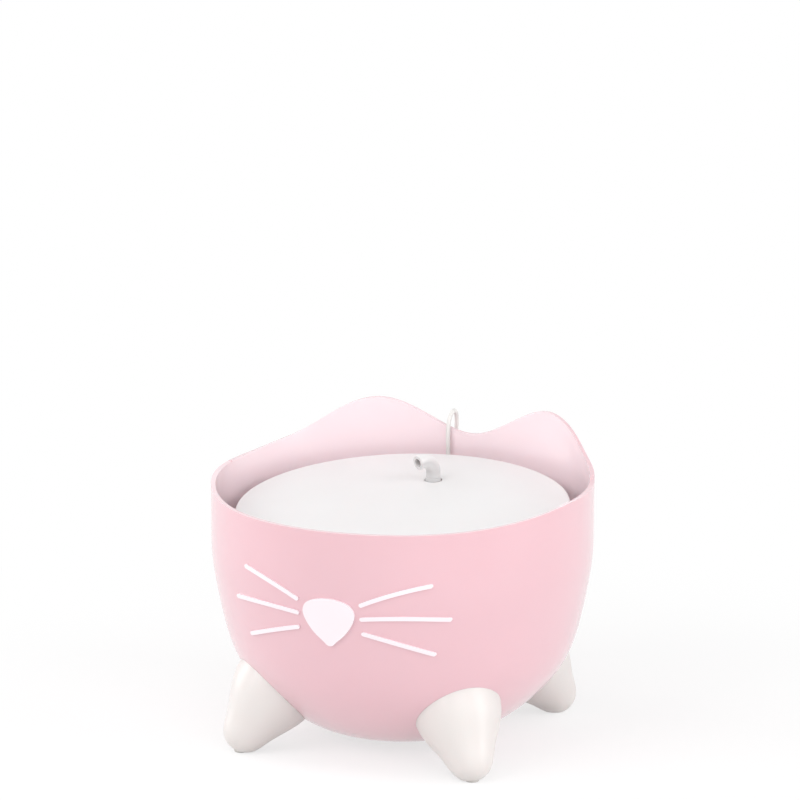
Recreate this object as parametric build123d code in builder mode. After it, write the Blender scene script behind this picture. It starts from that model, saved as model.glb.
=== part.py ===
"""Pet water fountain: a round bowl on four splayed feet, with a pump, a riser tube, a tray with a
filter pocket, a filter cartridge, a wedge-shaped lid and a swivelling spout.

Millimetres. +Z is up and the face looks along -Y. The origin is on the floor under the bowl's centre.
Every piece is modelled where it sits when the fountain is assembled.
"""
import os
from math import cos, pi, radians, sin, tan

from build123d import *

os.makedirs("parts", exist_ok=True)

# ---------------------------------------------------------------- driving dimensions
# Bowl
BOWL_WALL = 3.0
BOWL_RADIUS = 125.0
BOWL_BOTTOM = 8.0
BOWL_FOOT_RADIUS = 48.0
BOWL_STRAIGHT = 150.0
BOWL_FLOOR = 12.0
RIM_FRONT = 166.0
RIM_SIDE = 172.0
RIM_DIP = 174.5
EAR_HEIGHT = 198.5
EAR_ACROSS = 61.0
RIB_TOP = 130.0
RIB_WIDTH = 2.5
RIB_SEAT = 2.5
RIB_ANGLES = (33, 147, 213, 327)
DUCT_X = -9.3
DUCT_WIDTH = 22.0
DUCT_BOTTOM = 104.0
DUCT_TOP = 150.0
DUCT_ROOM = 4.2
DUCT_WALL = 1.4
PLINTH_MARGIN = 3.0
PLINTH_CORNER = 8.0
CUT_ROOM = 10.0
EDGE_ROOM = 1.0

# Face
NOSE_WIDTH = 35.0
NOSE_HEIGHT = 32.2
NOSE_BOTTOM = 91.0
NOSE_PROUD = 1.6
WHISKER_WIDTH = 2.8
WHISKER_PROUD = 1.1

# Feet
FOOT_ANGLE = 45.0
FOOT_TILT = 38.0
FOOT_INSET = 13.0
FOOT_PIVOT_HEIGHT = 11.8
FOOT_TIP_DROP = 12.1
FOOT_TIP_RADIUS = 17.0
FOOT_TIP_RISE = 5.0
FOOT_CALF_RADIUS = 25.8
FOOT_CALF_RISE = 24.0
FOOT_BASE_RADIUS = 29.3
FOOT_BASE_RISE = 48.0
FOOT_LENGTH = 62.0
FOOT_PAD_OUTWARDS = 2.0
FOOT_PAD_RADIUS = 4.5
FOOT_PAD_HEIGHT = 1.6
FOOT_PAD_SUNK = 0.8
FOOT_PAD_ROUND = 0.4
SCREW_RADIUS = 1.5
SCREW_START = 14.0

# Water line from pump to spout
SPOUT_Y = 54.0

# Pump
PUMP_LENGTH = 52.0
PUMP_WIDTH = 36.0
PUMP_HEIGHT = 33.0
PUMP_WALL = 2.0
PUMP_TURN = 45.0
PUMP_SEAT = 24.5
NIPPLE_FROM_KNOB_END = 37.5
NIPPLE_RADIUS = 5.5
NIPPLE_BORE_RADIUS = 3.75
NIPPLE_LENGTH = 17.0
NIPPLE_CHAMFER = 0.6
PUMP_CORNER = 4.0
PUMP_TOP_ROUND = 2.5
PUMP_BOTTOM_ROUND = 1.5
MOTOR_START = -23.0
BULKHEAD = 0.0
PUMP_FOOT_HEIGHT = 1.5
PUMP_FOOT_RADIUS = 4.0
PUMP_FOOT_INSET = 11.0
PUMP_FOOT_ROUND = 0.4
ROTOR_HEIGHT = 15.0
CAN_RADIUS = 6.5
CAN_WALL = 1.0
CAN_END = -16.0
STATOR_RADIUS = 12.5
STATOR_START = -11.0
STATOR_LENGTH = 8.0
STATOR_GAP = 0.3
WINDING_LENGTH = 2.0
WINDING_INSET = 1.0
BOARD_WIDTH = 26.0
BOARD_THICKNESS = 1.5
MAGNET_RADIUS = 6.2
MAGNET_LENGTH = 12.0
HUB_RADIUS = 3.5
ROOM_CLEARANCE = 1.0
IMPELLER_RADIUS = 12.0
IMPELLER_BLADES = 6
IMPELLER_DISC = 1.4
BLADE_INSET = 0.6
BLADE_THICKNESS = 1.2
BLADE_HEIGHT = 6.0
BUSH_LENGTH = 3.0
BUSH_RADIUS = 3.0
BOSS_RADIUS = 5.0
BOSS_LENGTH = 5.0
INTAKE_SLOTS = 6
INTAKE_PITCH = 4.6
INTAKE_SLOT = 2.0
INTAKE_SLOT_LENGTH = 23.0
COVER_GAP = 0.1
SHAFT_RADIUS = 1.0
SHAFT_CLEARANCE = 0.05
WINDOW_WIDTH = 18.0
WINDOW_HEIGHT = 8.4
WINDOW_DEPTH = 1.6
WINDOW_BOTTOM = 16.0
WINDOW_CORNER = 1.2
REGULATOR_WIDTH = 9.0
REGULATOR_START = 4.2
REGULATOR_THICKNESS = 1.0
GRIP_PITCH = 2.2
GRIP_WIDTH = 0.8
GRIP_HEIGHT = 0.5
GRIP_LENGTH = 4.2
GRIPS = 3
LED_RADIUS = 2.2
LED_HEIGHT = 8.5
LED_DEPTH = 2.0
BEZEL_RADIUS = 4.0
BEZEL_HEIGHT = 0.8

# Riser tube
TUBE_RADIUS = 7.25
TUBE_BORE_RADIUS = 5.6
TUBE_LENGTH = 47.3
TUBE_GAP = 1.0

# Tray
TRAY_CLEARANCE = 9.0
TRAY_PLATE = 2.4
TRAY_SKIRT = 8.0
TRAY_SKIRT_WALL = 2.0
BASIN_TOP_RADIUS = 104.0
BASIN_SLOPE = 26.0
BASIN_TOWER_GAP = 4.0
BASIN_DEPTH = 6.0
TRAY_EDGE = 5.6
TRAY_WALL = 2.0
POCKET_Y = -49.0
POCKET_SIZE = 99.0
POCKET_CORNER = 15.0
POCKET_DEPTH = 21.0
CELL_OFFSET = 22.0
LOBE_SIZE = 43.0
LOBE_CORNER = 14.0
POST_RADIUS = 6.5
DRAIN_WIDTH = 2.0
DRAIN_LENGTH = 20.0
DRAIN_PITCH = 5.5
DRAIN_COUNT = 5
HOLE_LENGTH = 26.0
HOLE_WIDTH = 22.0
HOLE_REACH = 75.5
HOLE_ANGLE = 28.5
HOLE_WALL = 1.6
HOLE_DEPTH = 6.0
TOWER_RADIUS = 17.0
TOWER_LIP_RADIUS = 20.5
TOWER_BODY = 9.2
TOWER_LIP = 2.4
TOWER_CAP = 1.8
TOWER_CAP_RADIUS = 9.0
TOWER_TOP = 14.5
TOWER_TOP_RADIUS = 6.8
TOWER_WATER_ROOM = 3.0
TOWER_COLLAR_DEPTH = 6.5
SLEEVE_RADIUS = 9.6
SLEEVE_DROP = 46.0
TUBE_CLEARANCE = 0.15

# Pull ring
RING_X = 39.5
RING_HINGE_Y = 36.0
RING_REACH = 12.0
RING_OUTER_RADIUS = 14.2
RING_INNER_RADIUS = 9.4
RING_THICKNESS = 6.0
RING_PIN_RADIUS = 1.2
RING_BARREL_WIDTH = 9.0
LUG_WIDTH = 2.5
LUG_DEPTH = 4.0
LUG_ABOVE_PIN = 2.4
HINGE_CLEARANCE = 0.1
SIDE_CLEARANCE = 0.3

# Filter cartridge
FILTER_SIZE = 94.0
FILTER_CORNER = 22.0
FILTER_FLANGE = 1.2
FILTER_HOLE_RADIUS = 8.0
CELL_SIZE = 40.0
CELL_CORNER = 12.0
CELL_DEPTH = 10.5
CELL_WALL = 1.0
CLOTH_SIZE = 90.0
CLOTH_THICKNESS = 1.0
BED_HEIGHT = 8.5
BED_ROUND = 1.5

# Lid
LID_INSET = 3.6
LID_WALL = 2.0
LID_PLATE = 2.4
LID_FRONT_HEIGHT = 7.5
LID_BACK_HEIGHT = 24.5
LID_NOTCH_ANGLE = 27.0
LID_HOLE_RADIUS = 6.0
LID_ROUND = 1.2

# Spout
COLLAR_RADIUS = 5.3
COLLAR_BORE_RADIUS = 4.1
COLLAR_HEIGHT = 14.0
COLLAR_CLEARANCE = 0.1
ELBOW_RADIUS = 4.8
ELBOW_BORE_RADIUS = 3.0
ELBOW_SPIGOT_RADIUS = 4.0
ELBOW_SPIGOT = 9.0
ELBOW_RISE = 3.6
ELBOW_BEND = 8.4
ELBOW_TURN = 100.0
ELBOW_HEADING = 31.0
ELBOW_MOUTH = 3.0

# Cord
CORD_RADIUS = 1.5
GLAND_LENGTH = 7.0
GLAND_RADIUS = 3.0
GLAND_TAPER = 8.0
BEND_SHARE = 0.45
GLAND_FROM_CENTRE = 8.0
GLAND_HEIGHT = 24.0
COIL_X = -70.0
COIL_Y = 172.0
COIL_MEAN_RADIUS = 16.5
COIL_TURNS_HIGH = 3
COIL_TURNS_WIDE = 3
TIE_WIDTH = 4.0
TIE_THICKNESS = 0.8
TIE_ANGLE = 200.0
LEAD_LENGTH = 16.0
PLUG_LENGTH = 22.0
PLUG_WIDTH = 12.0
PLUG_THICKNESS = 7.0
PLUG_ROUND = 1.5
SHELL_LENGTH = 14.0
SHELL_WIDTH = 10.4
SHELL_THICKNESS = 4.5
SHELL_WALL = 0.4
TONGUE_THICKNESS = 1.4
TONGUE_LENGTH = 12.5

# The cord's way from the pump to its coil on the floor, point by point
CORD_ROUTE = [
    (-31.47, 57.9, 50.0),
    (-38.5, 64.93, 50.0),
    (-48.6, 65.6, 51.5),
    (-57.6, 61.3, 52.5),
    (-64.4, 55.8, 53.0),
    (-67.0, 47.9, 52.5),
    (-64.4, 40.3, 51.3),
    (-57.6, 35.6, 49.5),
    (-49.3, 36.2, 47.4),
    (-42.9, 41.9, 45.0),
    (-34.3, 53.4, 41.8),
    (-25.4, 65.4, 39.6),
    (-18.8, 78.4, 40.6),
    (-15.3, 91.0, 48.6),
    (-14.5, 101.6, 63.0),
    (-14.5, 109.2, 82.5),
    (-14.5, 115.6, 104.0),
    (-14.5, 117.7, 116.0),
    (-14.5, 118.7, 128.0),
    (-14.7, 118.9, 156.0),
    (-15.0, 118.0, 181.5),
    (-15.5, 129.8, 189.5),
    (-17.0, 141.8, 181.5),
    (-19.0, 140.5, 155.0),
    (-22.0, 138.5, 126.0),
    (-26.5, 137.5, 97.0),
    (-32.0, 137.5, 69.5),
    (-37.5, 138.0, 44.5),
    (-42.5, 139.0, 23.5),
    (-46.8, 142.6, 7.0),
    (-56.5, 154.9, 2.8),
]

# ---------------------------------------------------------------- places that follow from them
tray_radius = BOWL_RADIUS - BOWL_WALL - TRAY_CLEARANCE
lid_radius = tray_radius - LID_INSET
tray_top = RIB_TOP + TRAY_SKIRT
basin_floor = tray_top - BASIN_DEPTH
basin_y = SPOUT_Y - TOWER_RADIUS - BASIN_TOWER_GAP - BASIN_TOP_RADIUS
pocket_floor = basin_floor - POCKET_DEPTH
pump_bottom = PUMP_SEAT + PUMP_FOOT_HEIGHT
pump_top = pump_bottom + PUMP_HEIGHT
nipple_x = NIPPLE_FROM_KNOB_END - PUMP_LENGTH / 2
pump_x = -nipple_x * cos(radians(PUMP_TURN))
pump_y = SPOUT_Y - nipple_x * sin(radians(PUMP_TURN))
pump_foot_x = PUMP_LENGTH / 2 - PUMP_FOOT_INSET
pump_foot_y = PUMP_WIDTH / 2 - PUMP_FOOT_INSET
tube_bottom = pump_top + TUBE_GAP
tower_top = tray_top + TOWER_TOP
collar_bottom = tower_top - TOWER_COLLAR_DEPTH
collar_top = collar_bottom + COLLAR_HEIGHT
lid_slope = (LID_BACK_HEIGHT - LID_FRONT_HEIGHT) / (2 * lid_radius)
lid_middle = tray_top + (LID_FRONT_HEIGHT + LID_BACK_HEIGHT) / 2
well_top = EAR_HEIGHT + CUT_ROOM
well_radius = BOWL_RADIUS + CUT_ROOM
ring_hinge_z = tray_top + SIDE_CLEARANCE + RING_THICKNESS / 2
pin_half_length = RING_BARREL_WIDTH / 2 + SIDE_CLEARANCE + LUG_WIDTH


def pump_plane(height=0.0):
    """Level plane of the pump, X along its length away from the regulator window."""
    turn = radians(PUMP_TURN)
    return Plane(
        origin=(pump_x, pump_y, pump_bottom + height),
        x_dir=(cos(turn), sin(turn), 0),
        z_dir=(0, 0, 1),
    )


def rotor_plane(along=0.0):
    """Plane square to the impeller shaft, its normal along the pump's length."""
    turn = radians(PUMP_TURN)
    middle = pump_plane(ROTOR_HEIGHT)
    return Plane(
        origin=middle.from_local_coords((along, 0, 0)),
        x_dir=(-sin(turn), cos(turn), 0),
        z_dir=(cos(turn), sin(turn), 0),
    )


def finish(part, label):
    """Names a finished piece and writes its file."""
    part.label = label
    export_step(part, f"parts/{label}.step")


# ---------------------------------------------------------------- bowl shape
# How far out and how far up the side's inner points lie, as shares of its whole spread and rise
SIDE_SHAPE = [(0.4156, 0.1127), (0.7792, 0.331), (0.9221, 0.5704)]
SIDE_TANGENTS = [(1, 0.18), (0, 1)]
spread = BOWL_RADIUS - BOWL_FOOT_RADIUS
rise = BOWL_STRAIGHT - BOWL_BOTTOM
bowl_side = Spline(
    (BOWL_FOOT_RADIUS, BOWL_BOTTOM),
    *[(BOWL_FOOT_RADIUS + out * spread, BOWL_BOTTOM + up * rise) for out, up in SIDE_SHAPE],
    (BOWL_RADIUS, BOWL_STRAIGHT),
    tangents=SIDE_TANGENTS,
)
SIDE_STATIONS = [0, 0.15, 0.3, 0.45, 0.6, 0.8, 1]


def side_points(grow):
    """Points on the bowl's side, moved outwards by grow along its normal."""
    points = []
    for station in SIDE_STATIONS:
        at = bowl_side @ station
        along = bowl_side % station
        points.append((at.X + grow * along.Y, at.Y - grow * along.X))
    return points


def bowl_blank(grow, bottom):
    """The solid inside the bowl's side moved by grow, from bottom to above the ears."""
    with BuildPart() as blank:
        with BuildSketch(Plane.XZ):
            with BuildLine():
                points = side_points(grow)
                side = Spline(*points, tangents=SIDE_TANGENTS)
                Polyline(
                    side @ 1,
                    ((side @ 1).X, well_top),
                    (0, well_top),
                    (0, points[0][1]),
                    side @ 0,
                )
            make_face()
        revolve(axis=Axis.Z)
        if bottom > points[0][1]:
            split(bisect_by=Plane.XY.offset(bottom), keep=Keep.TOP)
    return blank.part


bowl_outside = bowl_blank(0, BOWL_BOTTOM)
bowl_inside = bowl_blank(-BOWL_WALL, BOWL_FLOOR)


def duct_slab(width, thickness):
    """A slab in front of the back wall, from the duct's bottom to its top."""
    with BuildPart() as slab:
        with BuildSketch(Plane.XY.offset(DUCT_BOTTOM)):
            with Locations((DUCT_X, BOWL_RADIUS / 2)):
                Rectangle(width, BOWL_RADIUS)
        extrude(amount=DUCT_TOP - DUCT_BOTTOM)
        add(bowl_blank(-BOWL_WALL - thickness, BOWL_FLOOR), mode=Mode.SUBTRACT)
    return slab.part


with BuildPart() as cord_duct:
    add(duct_slab(DUCT_WIDTH, DUCT_ROOM + DUCT_WALL))
    add(duct_slab(DUCT_WIDTH - 2 * DUCT_WALL, DUCT_ROOM), mode=Mode.SUBTRACT)

with BuildPart() as bowl_hollow:
    add(bowl_inside)
    with BuildSketch(Plane.XY):
        rib_reach = tray_radius - RIB_SEAT
        for angle in RIB_ANGLES:
            with PolarLocations((rib_reach + BOWL_RADIUS) / 2, 1, start_angle=angle):
                Rectangle(BOWL_RADIUS - rib_reach, RIB_WIDTH)
    extrude(amount=RIB_TOP, mode=Mode.SUBTRACT)
    add(cord_duct.part, mode=Mode.SUBTRACT)
    with BuildSketch(pump_plane(-PUMP_FOOT_HEIGHT)):
        RectangleRounded(PUMP_LENGTH + 2 * PLINTH_MARGIN, PUMP_WIDTH + 2 * PLINTH_MARGIN, PLINTH_CORNER)
    extrude(amount=-PUMP_SEAT, mode=Mode.SUBTRACT)


def rim_cut(points, depth):
    """Everything above a rim line drawn across the bowl, from its middle plane over depth."""
    with BuildPart() as cut:
        with BuildSketch(Plane.XZ):
            with BuildLine():
                line = Spline(*points, tangents=[(1, 0), (1, 0)])
                Polyline(
                    line @ 1,
                    ((line @ 1).X, well_top + CUT_ROOM),
                    ((line @ 0).X, well_top + CUT_ROOM),
                    line @ 0,
                )
            make_face()
        extrude(amount=depth)
    return cut.part


# Points of the rim line, as shares of the way from one named point to the next
INNER_FLANK = [(0, 0), (0.36, 0.292), (0.705, 0.771), (1, 1)]
OUTER_FLANK = [(0.246, 0.887), (0.477, 0.547), (0.677, 0.245), (0.846, 0.087), (1, 0)]
FRONT_SWEEP = [(0, 0), (0.341, 0), (0.65, 0.1), (0.84, 0.45), (0.94, 0.83), (1, 1)]
edge = BOWL_RADIUS + EDGE_ROOM
back_half = [(EAR_ACROSS * x, RIM_DIP + (EAR_HEIGHT - RIM_DIP) * z) for x, z in INNER_FLANK]
back_half += [
    (EAR_ACROSS + (edge - EAR_ACROSS) * x, RIM_SIDE + (EAR_HEIGHT - RIM_SIDE) * z)
    for x, z in OUTER_FLANK
]
front_half = [(edge * x, RIM_FRONT + (RIM_SIDE - RIM_FRONT) * z) for x, z in FRONT_SWEEP]


def mirrored(half):
    """A line from left to right through the points of its right half."""
    left = [(-x, z) for x, z in reversed(half[1:])]
    return left + half


with BuildPart() as bowl:
    add(bowl_outside)
    add(bowl_hollow.part, mode=Mode.SUBTRACT)
    add(rim_cut(mirrored(back_half), -well_radius), mode=Mode.SUBTRACT)
    add(rim_cut(mirrored(front_half), well_radius), mode=Mode.SUBTRACT)
finish(bowl.part, "bowl")

# ---------------------------------------------------------------- face
bowl_skins = {}


def on_bowl(sketch, proud):
    """A badge of the sketch's outline that stands proud of the bowl's front by proud."""
    if proud not in bowl_skins:
        bowl_skins[proud] = bowl_blank(proud, BOWL_BOTTOM)
    with BuildPart() as badge:
        add(sketch)
        extrude(amount=well_radius, dir=(0, -1, 0))
        add(bowl_skins[proud], mode=Mode.INTERSECT)
        add(bowl_outside, mode=Mode.SUBTRACT)
    return badge.part


# Points of the nose's right edge from its tip to its top, as shares of its half width and height
NOSE_SHAPE = [
    (0, 0),
    (0.205, 0.066),
    (0.51, 0.215),
    (0.795, 0.405),
    (0.966, 0.586),
    (1, 0.686),
    (0.903, 0.841),
    (0.625, 0.944),
    (0.284, 0.991),
    (0, 1),
]
with BuildSketch(Plane.XZ) as nose_outline:
    with BuildLine():
        nose_edge = Spline(
            *[(NOSE_WIDTH / 2 * x, NOSE_BOTTOM + NOSE_HEIGHT * z) for x, z in NOSE_SHAPE],
            tangents=[(1, 0), (-1, 0)],
        )
        mirror(nose_edge, about=Plane.YZ)
    make_face()
finish(on_bowl(nose_outline.sketch, NOSE_PROUD), "nose")

# Inner end, middle and outer end of each whisker on the left, seen from the front
WHISKERS = {
    "upper": ((-22, 120.5), (-42, 128.2), (-63, 133.5)),
    "middle": ((-22, 111), (-47, 112.2), (-72.5, 110.7)),
    "lower": ((-22.5, 101), (-43, 94.8), (-62.5, 87.4)),
}
for level, ends in WHISKERS.items():
    spine = ThreePointArc(*ends)
    with BuildSketch(Plane.XZ) as whisker_outline:
        SlotArc(spine, WHISKER_WIDTH)
    whisker = on_bowl(whisker_outline.sketch, WHISKER_PROUD)
    finish(whisker, f"whisker_left_{level}")
    finish(mirror(whisker, about=Plane.YZ), f"whisker_right_{level}")

# ---------------------------------------------------------------- feet
FEET = {
    "front_left": 180 + FOOT_ANGLE,
    "front_right": 360 - FOOT_ANGLE,
    "rear_left": 180 - FOOT_ANGLE,
    "rear_right": FOOT_ANGLE,
}


def foot_plane(angle):
    """Plane along a foot's axis: Y runs from inside its tip up to the bowl."""
    lean = radians(FOOT_TILT)
    out = Vector(cos(radians(angle)), sin(radians(angle)), 0)
    up = out * -sin(lean) + Vector(0, 0, cos(lean))
    pivot = out * (BOWL_RADIUS - FOOT_INSET) + Vector(0, 0, FOOT_PIVOT_HEIGHT)
    side = out.cross(Vector(0, 0, 1))
    return Plane(origin=pivot, x_dir=side, z_dir=side.cross(up))


def screw_plane(angle):
    """Plane square to a foot's axis where its screw ends."""
    axis_plane = foot_plane(angle)
    end = axis_plane.from_local_coords((0, SCREW_START, 0))
    return Plane(origin=end, z_dir=axis_plane.y_dir)


for name, angle in FEET.items():
    axis_plane = foot_plane(angle)
    foot_axis = Axis(axis_plane.origin, axis_plane.y_dir)
    out = Vector(cos(radians(angle)), sin(radians(angle)), 0)
    pad_place = out * (BOWL_RADIUS - FOOT_INSET + FOOT_PAD_OUTWARDS)
    with BuildPart() as foot:
        with BuildSketch(axis_plane):
            with BuildLine():
                flank = Spline(
                    (0, -FOOT_TIP_DROP),
                    (FOOT_TIP_RADIUS, FOOT_TIP_RISE),
                    (FOOT_CALF_RADIUS, FOOT_CALF_RISE),
                    (FOOT_BASE_RADIUS, FOOT_BASE_RISE),
                    tangents=[(1, 0), (0, 1)],
                )
                Polyline(
                    flank @ 1,
                    (FOOT_BASE_RADIUS, FOOT_LENGTH),
                    (0, FOOT_LENGTH),
                    flank @ 0,
                )
            make_face()
        revolve(axis=foot_axis)
        add(bowl_outside, mode=Mode.SUBTRACT)
        split(bisect_by=Plane.XY.offset(FOOT_PAD_HEIGHT - FOOT_PAD_SUNK), keep=Keep.TOP)
        with BuildSketch(Plane.XY.offset(FOOT_PAD_HEIGHT - FOOT_PAD_SUNK)):
            with Locations(pad_place):
                Circle(FOOT_PAD_RADIUS)
        extrude(amount=FOOT_PAD_SUNK, mode=Mode.SUBTRACT)
        with BuildSketch(screw_plane(angle)):
            Circle(SCREW_RADIUS)
        extrude(amount=FOOT_LENGTH, mode=Mode.SUBTRACT)
    finish(foot.part, f"foot_{name}")
    with BuildPart() as pad:
        with BuildSketch(Plane.XY):
            with Locations(pad_place):
                Circle(FOOT_PAD_RADIUS)
        extrude(amount=FOOT_PAD_HEIGHT)
        fillet(pad.faces().sort_by(Axis.Z)[0].edges(), FOOT_PAD_ROUND)
    finish(pad.part, f"foot_pad_{name}")

with BuildPart() as foot_screws:
    for angle in FEET.values():
        with BuildSketch(screw_plane(angle)):
            Circle(SCREW_RADIUS)
        extrude(amount=FOOT_LENGTH)
    add(bowl_outside, mode=Mode.SUBTRACT)
finish(foot_screws.part, "foot_screws")

# ---------------------------------------------------------------- pump
half_length = PUMP_LENGTH / 2
half_width = PUMP_WIDTH / 2
room_width = PUMP_WIDTH - 2 * PUMP_WALL
room_height = PUMP_HEIGHT - 2 * PUMP_WALL


def knob_face(sink=0.0):
    """Plane on the pump's knob end from its bottom middle, X to the right seen from outside."""
    base = pump_plane()
    return Plane(
        origin=base.from_local_coords((-half_length + sink, 0, 0)),
        x_dir=base.y_dir * -1,
        z_dir=base.x_dir * -1,
    )


with BuildPart() as pump_housing:
    with BuildSketch(pump_plane()):
        RectangleRounded(PUMP_LENGTH, PUMP_WIDTH, PUMP_CORNER)
    extrude(amount=PUMP_HEIGHT)
    fillet(pump_housing.faces().sort_by(Axis.Z)[-1].edges(), PUMP_TOP_ROUND)
    fillet(pump_housing.faces().sort_by(Axis.Z)[0].edges(), PUMP_BOTTOM_ROUND)
    # motor room at the knob end
    with BuildSketch(pump_plane(PUMP_WALL)):
        with Locations(((MOTOR_START + BULKHEAD) / 2, 0)):
            Rectangle(BULKHEAD - MOTOR_START, room_width)
    extrude(amount=room_height, mode=Mode.SUBTRACT)
    # pump room, open at the far end
    with BuildSketch(pump_plane(PUMP_WALL)):
        room_start = BULKHEAD + PUMP_WALL
        with Locations(((room_start + half_length) / 2, 0)):
            Rectangle(half_length - room_start, room_width)
    extrude(amount=room_height, mode=Mode.SUBTRACT)
    # can around the magnet
    with BuildSketch(rotor_plane(CAN_END - CAN_WALL)):
        Circle(CAN_RADIUS + CAN_WALL)
    extrude(amount=BULKHEAD - CAN_END + CAN_WALL)
    with BuildSketch(rotor_plane(CAN_END)):
        Circle(CAN_RADIUS)
    extrude(amount=room_start - CAN_END, mode=Mode.SUBTRACT)
    # outlet nipple
    with BuildSketch(pump_plane(PUMP_HEIGHT)):
        with Locations((nipple_x, 0)):
            Circle(NIPPLE_RADIUS)
    extrude(amount=NIPPLE_LENGTH)
    chamfer(pump_housing.faces().sort_by(Axis.Z)[-1].edges(), NIPPLE_CHAMFER)
    with BuildSketch(pump_plane(PUMP_HEIGHT - PUMP_WALL)):
        with Locations((nipple_x, 0)):
            Circle(NIPPLE_BORE_RADIUS)
    extrude(amount=PUMP_WALL + NIPPLE_LENGTH, mode=Mode.SUBTRACT)
    # window of the flow regulator and the seat of the lamp
    with BuildSketch(knob_face()):
        with Locations((0, WINDOW_BOTTOM + WINDOW_HEIGHT / 2)):
            RectangleRounded(WINDOW_WIDTH, WINDOW_HEIGHT, WINDOW_CORNER)
    extrude(amount=-WINDOW_DEPTH, mode=Mode.SUBTRACT)
    with BuildSketch(knob_face()):
        with Locations((0, LED_HEIGHT)):
            Circle(LED_RADIUS)
    extrude(amount=-LED_DEPTH, mode=Mode.SUBTRACT)
finish(pump_housing.part, "pump_housing")

with BuildPart() as intake_cover:
    with BuildSketch(rotor_plane(half_length - PUMP_WALL)):
        with Locations((0, PUMP_HEIGHT / 2 - ROTOR_HEIGHT)):
            Rectangle(room_width - 2 * COVER_GAP, room_height - 2 * COVER_GAP)
    extrude(amount=PUMP_WALL)
    with BuildSketch(rotor_plane(half_length)):
        with Locations((0, PUMP_HEIGHT / 2 - ROTOR_HEIGHT)):
            with GridLocations(INTAKE_PITCH, 0, INTAKE_SLOTS, 1):
                SlotOverall(INTAKE_SLOT_LENGTH, INTAKE_SLOT, rotation=90)
        Circle(BOSS_RADIUS, mode=Mode.SUBTRACT)
    extrude(amount=-PUMP_WALL, mode=Mode.SUBTRACT)
    with BuildSketch(rotor_plane(half_length - PUMP_WALL)):
        Circle(BOSS_RADIUS)
    extrude(amount=-BOSS_LENGTH)
    with BuildSketch(rotor_plane(half_length - PUMP_WALL - BOSS_LENGTH)):
        Circle(BUSH_RADIUS)
    extrude(amount=BUSH_LENGTH, mode=Mode.SUBTRACT)
finish(intake_cover.part, "intake_cover")

with BuildPart() as stator_core:
    with BuildSketch(rotor_plane(STATOR_START)):
        Circle(STATOR_RADIUS)
        Circle(CAN_RADIUS + CAN_WALL + STATOR_GAP, mode=Mode.SUBTRACT)
    extrude(amount=STATOR_LENGTH)
finish(stator_core.part, "stator_core")

with BuildPart() as stator_winding:
    for start in (STATOR_START - WINDING_LENGTH, STATOR_START + STATOR_LENGTH):
        with BuildSketch(rotor_plane(start)):
            Circle(STATOR_RADIUS - WINDING_INSET)
            Circle(CAN_RADIUS + CAN_WALL + STATOR_GAP, mode=Mode.SUBTRACT)
        extrude(amount=WINDING_LENGTH)
finish(stator_winding.part, "stator_winding")

with BuildPart() as control_board:
    with BuildSketch(rotor_plane(MOTOR_START)):
        with Locations((0, PUMP_HEIGHT / 2 - ROTOR_HEIGHT)):
            Rectangle(BOARD_WIDTH, room_height)
    extrude(amount=BOARD_THICKNESS)
finish(control_board.part, "control_board")

shaft_end = half_length - PUMP_WALL - BOSS_LENGTH + BUSH_LENGTH
with BuildPart() as impeller_shaft:
    with BuildSketch(rotor_plane(CAN_END)):
        Circle(SHAFT_RADIUS)
    extrude(amount=shaft_end - CAN_END)
finish(impeller_shaft.part, "impeller_shaft")

for name, start, outer in (
    ("shaft_bush_rear", CAN_END, CAN_RADIUS),
    ("shaft_bush_front", shaft_end - BUSH_LENGTH, BUSH_RADIUS),
):
    with BuildPart() as bush:
        with BuildSketch(rotor_plane(start)):
            Circle(outer)
            Circle(SHAFT_RADIUS, mode=Mode.SUBTRACT)
        extrude(amount=BUSH_LENGTH)
    finish(bush.part, name)

with BuildPart() as rotor_magnet:
    with BuildSketch(rotor_plane(CAN_END + BUSH_LENGTH + SIDE_CLEARANCE)):
        Circle(MAGNET_RADIUS)
        Circle(SHAFT_RADIUS + SHAFT_CLEARANCE, mode=Mode.SUBTRACT)
    extrude(amount=MAGNET_LENGTH)
finish(rotor_magnet.part, "rotor_magnet")

hub_start = CAN_END + BUSH_LENGTH + SIDE_CLEARANCE + MAGNET_LENGTH
with BuildPart() as impeller:
    with BuildSketch(rotor_plane(hub_start)):
        Circle(HUB_RADIUS)
    extrude(amount=room_start + ROOM_CLEARANCE - hub_start)
    with BuildSketch(rotor_plane(room_start + ROOM_CLEARANCE)):
        Circle(IMPELLER_RADIUS)
    extrude(amount=IMPELLER_DISC)
    with BuildSketch(rotor_plane(room_start + ROOM_CLEARANCE + IMPELLER_DISC)):
        blade_end = IMPELLER_RADIUS - BLADE_INSET
        with PolarLocations((blade_end + SHAFT_RADIUS) / 2, IMPELLER_BLADES):
            Rectangle(blade_end - SHAFT_RADIUS, BLADE_THICKNESS)
        Circle(HUB_RADIUS)
    extrude(amount=BLADE_HEIGHT)
    with BuildSketch(rotor_plane(hub_start)):
        Circle(SHAFT_RADIUS + SHAFT_CLEARANCE)
    extrude(amount=half_length, mode=Mode.SUBTRACT)
finish(impeller.part, "impeller")

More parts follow.
